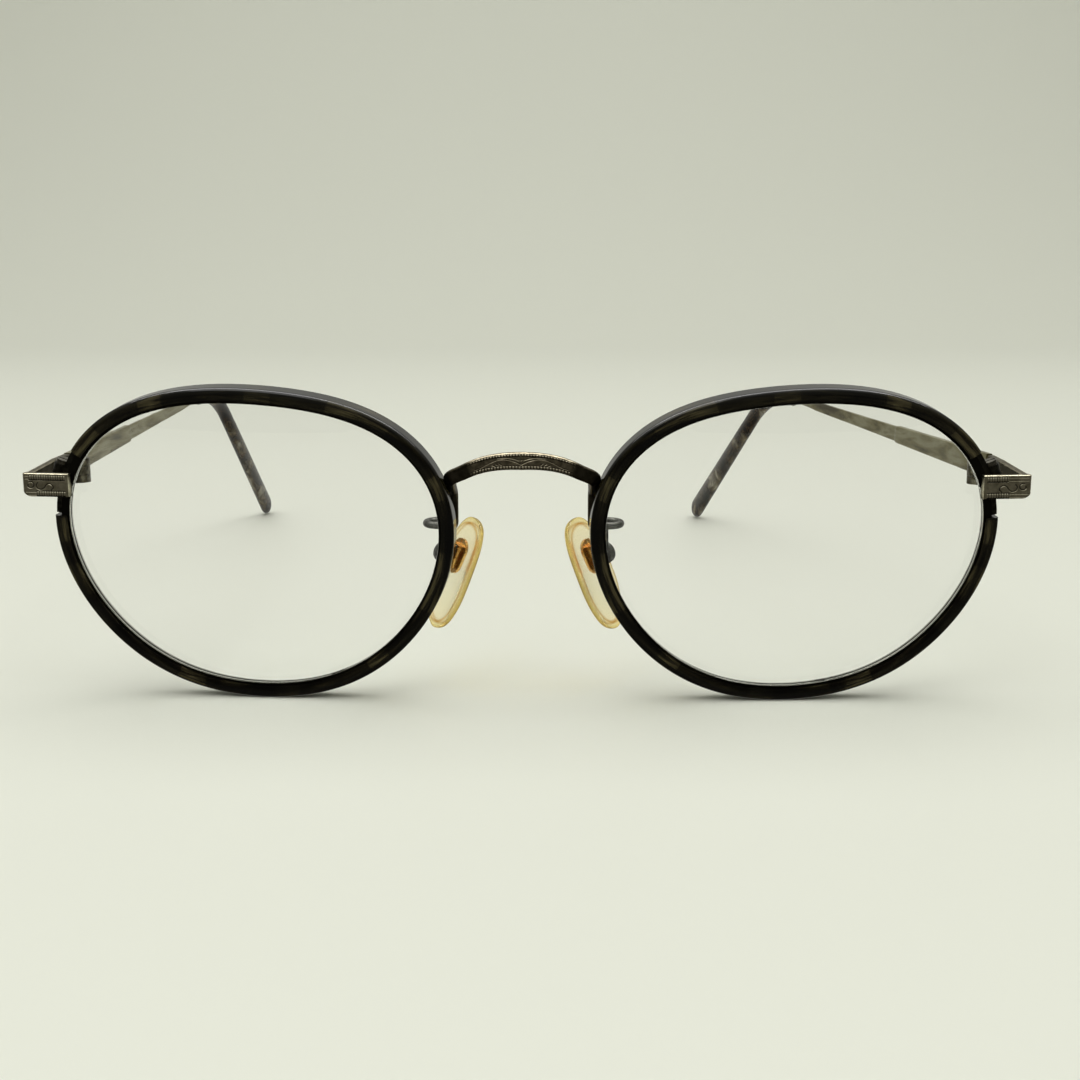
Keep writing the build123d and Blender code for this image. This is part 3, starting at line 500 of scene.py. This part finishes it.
# ---- Bridge ----
# One nickel silver strap, die-struck with beaded borders and two long leaves,
# drawn down at its ends to round legs that are soldered behind the eye wires.
CROWN = corners_of("bridge")[1].z
STRAP_SPAN = 8.3            # mid plane to the strap's end
ARCH, BOW = 2.15, 1.6       # how far its ends lie lower and further back
ARCH_POWER = 2.5            # flat in the middle, steeper towards the ends
CROWN_Y = 0.175
CROWN_HEIGHT, END_HEIGHT, BRIDGE_THICKNESS, BRIDGE_EDGE = 2.3, 1.9, 0.95, 0.3
LEG_X, LEG_RADIUS = 9.15, 0.65
LEG_Y = 5.17                # legs behind the rim covers
LEG_RISE = 4.6              # from the foot to where a leg is upright
LEG_BENDS = (1.1, 1.2, 0.75)
KNEE_OUT, KNEE_BACK, KNEE_DROP = 0.25, 0.3, 0.85
FOOT = Vector((10.1, 3.65, 23.13))
LEAF = ((0.0, -0.43), (0.6, -0.13), (1.5, 0.18), (2.5, 0.35), (3.8, 0.08), (5.0, -0.25), (5.9, -0.3))
LEAF_TOP = ((0.3, 0.12), (0.9, 0.33), (1.9, 0.5), (2.9, 0.5))
TUFTS = (((2.5, -0.42), (2.75, -0.15)), ((2.9, -0.42), (3.2, -0.2)), ((3.4, -0.42), (3.7, -0.28)))
DOT = ((-0.06, 0.14), (0.06, 0.14))
TOOTH, TICK = 0.35, 0.4     # pitches of the upper and lower borders
TOOTH_INSET, TOOTH_HALF = 0.36, 0.17
TICK_INSET, TICK_HALF = 0.34, 0.24
LEAF_WIDTH = 0.085          # half width of a leaf's line
ENGRAVING_END, ENGRAVING_FADE = 6.8, 0.8
LEG_SHADE, BACK_SHADE = 0.85, 0.75
BRIDGE_STEP = 0.06

antique = engraved("blackened_rubbed_nickel_silver", "#7C735F", "#BDB298", 0.7, "#0C0904", "#DDD5BE",
                   (0.28, 0.4), 0.09)
leaves = scribed(LEAF, LEAF_TOP, DOT, *TUFTS)
strap_half = []
for x in (STRAP_SPAN * i / 20 for i in range(19)):  # its last tenth bends into the leg
    drop = CROWN_HEIGHT / 2 + ARCH * (x / STRAP_SPAN) ** ARCH_POWER
    strap_half.append(Vector((x, CROWN_Y + BOW * (x / STRAP_SPAN) ** 2, CROWN - drop)))
knee = Vector((LEG_X + KNEE_OUT, strap_half[-1].y + KNEE_BACK, strap_half[-1].z - KNEE_DROP))
leg = [Vector((LEG_X, LEG_Y, FOOT.z + LEG_RISE)), Vector((LEG_X, LEG_Y, FOOT.z)), FOOT]
half_line = evenly(strap_half, 0.4)[:-1] + route([strap_half[-1], knee] + leg, LEG_BENDS, 0.1)
bridge_line = [Vector((-p.x, p.y, p.z)) for p in reversed(half_line[1:])] + half_line
bridge_line = evenly(bridge_line, BRIDGE_STEP)


def bridge_section(i, share):
    """Rounded strap that turns round towards its legs, engraved in front."""
    at = bridge_line[i]
    reach = abs(at.x) / STRAP_SPAN
    leg_share = min(1.0, max(0.0, (at.y - strap_half[-1].y) / (LEG_Y - strap_half[-1].y)))
    leg_share = leg_share**2 * (3 - 2 * leg_share)
    height = CROWN_HEIGHT + (END_HEIGHT - CROWN_HEIGHT) * min(1.0, reach)
    out, up, face = bar_outline(share, -height / 2, height / 2, BRIDGE_THICKNESS, BRIDGE_EDGE)
    if face:
        turned = math.pi * (share / FACE_END - 0.5)
    else:
        turned = math.pi * ((share - FACE_END) / (1 - FACE_END) + 0.5)
    out += BRIDGE_THICKNESS / 2
    out += (LEG_RADIUS * math.cos(turned) - out) * leg_share
    up += (LEG_RADIUS * math.sin(turned) - up) * leg_share
    fade = min(1.0, max(0.0, (ENGRAVING_END - abs(at.x)) / ENGRAVING_FADE))
    depth = 0.0
    if face and fade:
        depth = milgrain(at.x, up - height / 2 + TOOTH_INSET, TOOTH_HALF, TOOTH)
        depth += milgrain(at.x, up + height / 2 - TICK_INSET, TICK_HALF, TICK)
        depth = (depth or groove(leaves, abs(at.x), up, LEAF_WIDTH)) * fade
    shade = depth + LEG_SHADE * (1 - fade) if face else BACK_SHADE
    return out - ENGRAVED * depth, up, shade


made = swept(bridge_line, Vector((0, -1, 0)), 128, bridge_section, start=len(bridge_line) // 2)
piece("bridge_strap", made, Matrix.Identity(4), antique, "front", "bridge_metal", "bridge")

# ---- Hinges ----
# Three-barrel hinges, brazed inside the end pieces and the temples, each on
# one slotted screw. They are left in their darker, unrubbed finish.
dark_pewter = wear("dark_nickel_silver", "#8C8876", "#4B4739", 0.3, 0.45, 0.8, 0.08, 0.003)
for side in SIDES:
    dress(dark_pewter, side + "front_hinge", side + "temple_hinge")

# ---- Temples ----
# Rolled nickel silver bars, bevelled along their edges, stepped down to a
# ribbed tail and drawn to the round wire that the acetate tip is pushed on.
BAR_START, BAR_STEP, BAR_TAIL = 0.15, 28.0, 63.0
BAR_HEIGHTS, BAR_THICKNESS = (3.4, 2.6), 1.0
TAIL_HEIGHTS, TAIL_THICKNESS = (2.3, 1.5), 0.7
SHOULDER, WIRE_TAPER = 0.5, 3.0
BAR_SQUARE, TAIL_SQUARE = 7.0, 4.0  # how square the sections are; 2 is oval
RIB_PLACE, RIB_WIDTH, RIB_DEPTH = 0.5, 0.15, 0.06
BAR_STEP_LENGTH = 0.25
BAR_X, BAR_Z, BAR_RISE = 2.2, 0.55, math.tan(math.radians(1.8))
BEND_Y, BEND_RADIUS, DROP = 82.0, 32.0, math.radians(35.5)
CORE_RADIUS = 0.65
TIP_START, TIP_END_Y = 70.0, 123.83
WIRE_LAP = 6.0              # wire inside the tip
LEFT_FOLD = math.radians(13.7)

brushed, tree, skin = finish("brushed_nickel_silver", Metallic=1.0)
brushing = noise(tree, 0.12, 4.0, 0.0, (1, 0.04, 1))
cloud = noise(tree, 2.2, 3.0, 0.3, (1, 0.15, 1))
tone = blend_of(tree, cloud, (0.34, "#57513A"), (0.46, "#8A8462"), (0.56, "#A6A284"), (0.68, "#7A7453"))
tree.links.new(tone, skin.inputs["Base Color"])
tree.links.new(spread(tree, brushing, 0.3, 0.7, 0.26, 0.4), skin.inputs["Roughness"])
grain(tree, skin, brushing, 0.003)

bar_start = Vector((BAR_X, BAR_START, BAR_Z + BAR_START * BAR_RISE))
corner = Vector((BAR_X, BEND_Y, BAR_Z + BEND_Y * BAR_RISE))
tip_end = Vector((BAR_X, TIP_END_Y, corner.z - (TIP_END_Y - BEND_Y) * math.tan(DROP)))
wire_end = bar_start.lerp(corner, (TIP_START + WIRE_LAP - BAR_START) / (BEND_Y - BAR_START))
bar_line = evenly([bar_start, wire_end], BAR_STEP_LENGTH)


def between(pair, share):
    """Value that runs from one size to another."""
    return pair[0] + (pair[1] - pair[0]) * min(1.0, max(0.0, share))


def bar_section(i, share):
    """Bevelled bar, then a ribbed tail, then round wire."""
    y = bar_line[i].y
    step = between((0.0, 1.0), (y - BAR_STEP) / SHOULDER)
    wire = between((0.0, 1.0), (y - BAR_TAIL + WIRE_TAPER) / WIRE_TAPER)
    bar = between(BAR_HEIGHTS, (y - BAR_START) / (BAR_STEP - BAR_START))
    tail = between(TAIL_HEIGHTS, (y - BAR_STEP) / (BAR_TAIL - BAR_STEP))
    half_up = (bar + (tail - bar) * step) / 2
    half_out = (BAR_THICKNESS + (TAIL_THICKNESS - BAR_THICKNESS) * step) / 2
    angle = math.tau * share
    c, s = math.cos(angle), math.sin(angle)
    power = 2 / (BAR_SQUARE + (TAIL_SQUARE - BAR_SQUARE) * step)
    out = half_out * math.copysign(abs(c) ** power, c)
    up = half_up * math.copysign(abs(s) ** power, s)
    rib = step * max(0.0, 1 - abs(abs(up) / half_up - RIB_PLACE) / RIB_WIDTH) * RIB_DEPTH
    out -= math.copysign(rib, out)
    out += (CORE_RADIUS * c - out) * wire
    up += (CORE_RADIUS * s - up) * wire
    return out, up, 0.0


hinge_places = {
    "left_": Matrix.Translation(pin * MM) @ Matrix.Rotation(LEFT_FOLD, 4, "Z"),
    "right_": MIRROR @ Matrix.Translation(pin * MM),
}
for side in SIDES:
    made = swept(bar_line, Vector((1, 0, 0)), 64, bar_section)
    piece(side + "temple_bar", made, hinge_places[side], brushed, side + "temple", "temple_metal",
          side + "temple")

# ---- Temple tips ----
# Tortoise acetate ear pieces, heated and pushed on the wire, bent over the
# ear and tumbled until their ends are round.
TIP_THICKNESS, TIP_HEIGHTS, TIP_EVEN, TIP_CAP = 2.35, (2.9, 4.3), 20.0, 3.0
MOUTH_ROUND, MOUTH_SHRINK = 0.5, 0.35
TIP_STEP = 0.3

tortoise, tree, skin = finish("brown_tortoise_acetate", IOR=1.48, Specular_IOR_Level=0.2)
cloud = noise(tree, 2.4, 3.0, 0.6, (1, 0.3, 0.5))
fleck = noise(tree, 0.7, 4.0, 0.4, (1, 0.3, 0.5))
body = blend_of(tree, cloud, (0.36, "#0C0804"), (0.48, "#322516"), (0.57, "#564A36"), (0.66, "#8C8574"))
dark = blend_of(tree, fleck, (0.35, "#3A3A3A"), (0.62, "#FFFFFF"))
tree.links.new(multiplied(tree, 0.7, body, dark), skin.inputs["Base Color"])
tree.links.new(spread(tree, fleck, 0.3, 0.7, 0.12, 0.24), skin.inputs["Roughness"])

tip_start = bar_start.lerp(corner, (TIP_START - BAR_START) / (BEND_Y - BAR_START))
cap_end = tip_end + (tip_end - corner).normalized() * TIP_CAP
tip_line = route([tip_start, corner, cap_end], (BEND_RADIUS,), TIP_STEP)
tip_length = TIP_STEP * (len(tip_line) - 1)


def tip_section(i, share):
    """Oval that swells towards the end, rounded at both ends."""
    along = i * TIP_STEP
    swell = between((0.0, 1.0), (along - TIP_EVEN) / (tip_length - TIP_CAP - TIP_EVEN))
    cap = between((0.0, 1.0), (along - tip_length + TIP_CAP) / TIP_CAP)
    mouth = between((0.0, 1.0), 1 - along / MOUTH_ROUND)
    size = math.sqrt(max(0.0, 1 - cap**2)) * (1 - MOUTH_SHRINK * mouth**2)
    angle = math.tau * share
    out = TIP_THICKNESS / 2 * size * math.cos(angle)
    return out, between(TIP_HEIGHTS, swell) / 2 * size * math.sin(angle), 0.0


for side in SIDES:
    made = swept(tip_line, Vector((1, 0, 0)), 48, tip_section)
    piece(side + "temple_tip_acetate", made, hinge_places[side], tortoise, side + "temple", "tip_acetate",
          side + "temple_tip")

# ---- Nose pads ----
# Soft, pale amber silicone moulded round a gilt metal core. Towards its rim a
# deeper amber line and rim are painted in: painted shade for the longer path
# that light takes through the silicone at its thin edge.
PAD_OUTLINE = ((0.08, 1.0), (-0.44, 0.92), (-0.74, 0.62), (-0.87, 0.1), (-0.88, -0.42), (-0.62, -0.83),
               (-0.05, -1.0), (0.52, -0.84), (0.9, -0.42), (1.0, 0.1), (0.86, 0.62), (0.56, 0.91))
PAD_LENGTH, PAD_WIDTH, PAD_THICKNESS, PAD_EDGE = 16.2, 8.2, 2.0, 0.9
PAD_MIDDLE = Vector((9.5, 10.5, 15.61))
PAD_ACROSS, PAD_UP = Vector((0.528, 0.819, 0.224)), Vector((-0.391, 0, 0.92))
PAD_SQUARE = 5.0            # how square its edge is; 2 is round
PAD_SMOOTH, PAD_STEP, PAD_RINGS = 12, 0.4, 40

silicone, tree, skin = finish("amber_silicone", IOR=1.25, Roughness=0.1, Transmission_Weight=0.85)
rim = add(tree, "ShaderNodeAttribute", {"attribute_name": "recess"}).outputs["Fac"]
# Painted shade: a deeper amber line and rim towards the pad's edge, where light crosses more silicone.
tone = blend_of(tree, rim, (0.0, "#FFFBE8"), (0.84, "#FEF6D8"), (0.89, "#CB942F"), (0.93, "#FCF2C6"),
                (1.0, "#F2D981"))
tree.links.new(tone, skin.inputs["Base Color"])
grain(tree, skin, noise(tree, 0.5, 2.0), 0.001)
light_through(tree, skin, "#F4E9BE")

loop = [Vector((x * PAD_WIDTH / 2, y * PAD_LENGTH / 2, 0)) for x, y in PAD_OUTLINE]
loop = smooth_line(loop[-2:] + loop + loop[:3], PAD_SMOOTH)
loop = evenly(loop[2 * PAD_SMOOTH:-2 * PAD_SMOOTH], PAD_STEP)
pad_place = Matrix((PAD_ACROSS, PAD_UP, PAD_ACROSS.cross(PAD_UP))).transposed().to_4x4()
pad_place = Matrix.Translation(PAD_MIDDLE * MM) @ pad_place


def pad_skin():
    """Pad as a grid whose two ends close at the middles of its faces."""
    bm = bmesh.new()
    bmesh.ops.create_grid(bm, x_segments=PAD_RINGS, y_segments=len(loop) - 1, size=0.5)
    depth = bm.verts.layers.float.new("recess")
    for v in bm.verts:
        angle = math.pi * (v.co.x + 0.5)
        edge = loop[round((v.co.y + 0.5) * (len(loop) - 1))]
        share = math.sin(angle) ** (2 / PAD_SQUARE)
        rise = math.copysign(abs(math.cos(angle)) ** (2 / PAD_SQUARE), math.cos(angle))
        half = PAD_THICKNESS / 2 + (PAD_EDGE - PAD_THICKNESS) / 2 * share**2
        v[depth] = share
        v.co = (edge * share + Vector((0, 0, rise * half))) * MM
    bmesh.ops.remove_doubles(bm, verts=bm.verts, dist=1e-6)
    bmesh.ops.recalc_face_normals(bm, faces=bm.faces)
    return bm


for side, place in zip(SIDES, (Matrix.Identity(4), MIRROR)):
    piece(side + "nose_pad_silicone", pad_skin(), place @ pad_place, silicone, side + "pad", "pad_silicone",
          side + "nose_pad")

# ---- Pad cores, boxes and arms ----
# Gilt brass cores whose lugs sit in pressed boxes on looped wires, which are
# brazed to the bridge's legs and blackened with the rest of the front.
gilt = wear("gilt_brass", "#FFDA94", "#CC8C48", 0.2, 0.35, 0.7, 0.08, 0.002)
matt_gunmetal = wear("matt_blackened_nickel_silver", "#5A5A54", "#3A3A35", 0.4, 0.55, 0.8, 0.08, 0.004)
for side in SIDES:
    dress(gilt, side + "pad_core")
    dress(matt_gunmetal, side + "pad_box", side + "pad_arm")

# ---- Table and light ----
# A pale table that runs up into a pale wall, under one broad soft light, with
# a thin tube above that shows only as a line along polished edges.
TABLE_HALF, WALL_Y, WALL_HEIGHT, COVE, COVE_STEPS = 1.6, 1.1, 1.4, 0.45, 24
bm = bmesh.new()
bmesh.ops.create_grid(bm, x_segments=1, y_segments=1, size=TABLE_HALF)
bmesh.ops.translate(bm, vec=(0, WALL_Y - TABLE_HALF, 0), verts=bm.verts)
far_edge = [e for e in bm.edges if all(v.co.y > WALL_Y - 0.01 for v in e.verts)]
wall = bmesh.ops.extrude_edge_only(bm, edges=far_edge)["geom"]
bmesh.ops.translate(bm, vec=(0, 0, WALL_HEIGHT), verts=[v for v in wall if isinstance(v, bmesh.types.BMVert)])
bmesh.ops.bevel(bm, geom=far_edge, offset=COVE, segments=COVE_STEPS, profile=0.5, affect="EDGES", material=-1)
mesh = bpy.data.meshes.new("table")
bm.to_mesh(mesh)
bm.free()
mesh.shade_smooth()
table = bpy.data.objects.new("table", mesh)
bpy.context.scene.collection.objects.link(table)
table.visible_glossy = False  # polished fronts mirror the dim room, not the lit table
laminate, tree, skin = finish("pale_laminate", Base_Color=linear("#E4E6DA"), Roughness=0.55)
mesh.materials.append(laminate)

world = bpy.data.worlds.new("room")
world.use_nodes = True
tree = world.node_tree
way = add(tree, "ShaderNodeSeparateXYZ", {}, {"Vector": add(tree, "ShaderNodeTexCoord").outputs["Generated"]})
height = spread(tree, way.outputs["Z"], -0.2, 0.75, 0.0, 1.0)
behind = spread(tree, way.outputs["Y"], -0.3, 0.8, 0.0, 0.9)
light_share = add(tree, "ShaderNodeMath", {"operation": "MAXIMUM"}, {0: height, 1: behind}).outputs["Value"]
tone = blend_of(tree, light_share, (0.0, "#5C5A53"), (0.25, "#3E3C37"), (0.5, "#858479"), (1.0, "#DADAD2"))
tree.links.new(tone, tree.nodes["Background"].inputs["Color"])
tree.nodes["Background"].inputs["Strength"].default_value = 0.8
bpy.context.scene.world = world
bpy.context.scene.view_settings.view_transform = "Standard"

for name, place, size, power, tilt in (
    ("ceiling_light", (0.0, 0.1, 0.9), (1.2, 1.2), 6.1, 0.0),
    ("front_fill", (-0.3, -0.6, 0.7), (0.5, 0.5), 1.2, 42.0),
    ("gloss_tube", (0.0, 0.05, 0.6), (1.3, 0.08), 4.5, 0.0),
):
    light = bpy.data.lights.new(name, "AREA")
    light.shape = "RECTANGLE"
    light.size, light.size_y = size
    light.energy = power
    lamp = bpy.data.objects.new(name, light)
    lamp.visible_diffuse = lamp.visible_transmission = name != "gloss_tube"
    lamp.matrix_world = Matrix.Translation(place) @ Matrix.Rotation(math.radians(tilt), 4, "X")
    bpy.context.scene.collection.objects.link(lamp)
